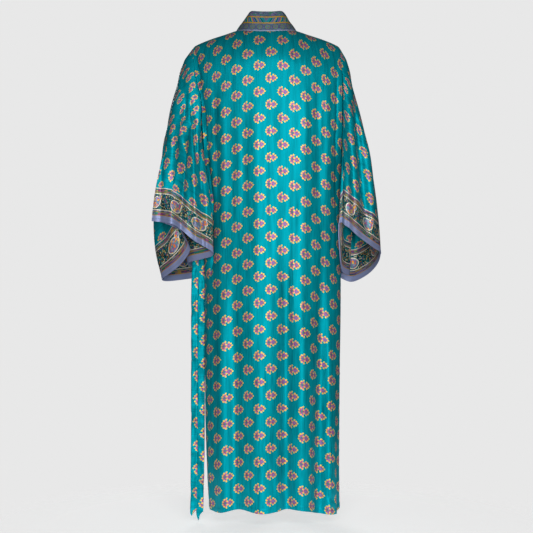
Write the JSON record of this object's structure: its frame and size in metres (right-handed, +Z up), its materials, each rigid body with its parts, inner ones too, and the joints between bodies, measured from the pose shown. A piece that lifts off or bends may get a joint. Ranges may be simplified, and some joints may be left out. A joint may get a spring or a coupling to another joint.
{
  "type": "long kimono",
  "caption": "Long open kimono robe of printed silk with wide sleeves, standing neckband, front bands and a hanging tie belt.",
  "frame": {"origin": "middle of the base of the neck, on the line between the two neck points of the shoulders", "axes": "+Z up, -Y towards the front of the wearer, +X towards the wearer's left"},
  "size_m": [0.6475, 0.2491, 1.4531],
  "materials": {
    "silk": "printed silk satin",
    "band": "printed silk satin, border stripes"
  },
  "bodies": {
    "root": {"back": "silk", "front_left": "silk", "front_right": "silk", "sleeve_left": "silk", "sleeve_right": "silk", "neckband_nape": "band", "neckband_left": "band", "neckband_right": "band", "belt": "silk", "belt_loop_left": "silk", "belt_loop_right": "silk"}
  },
  "joints": []
}
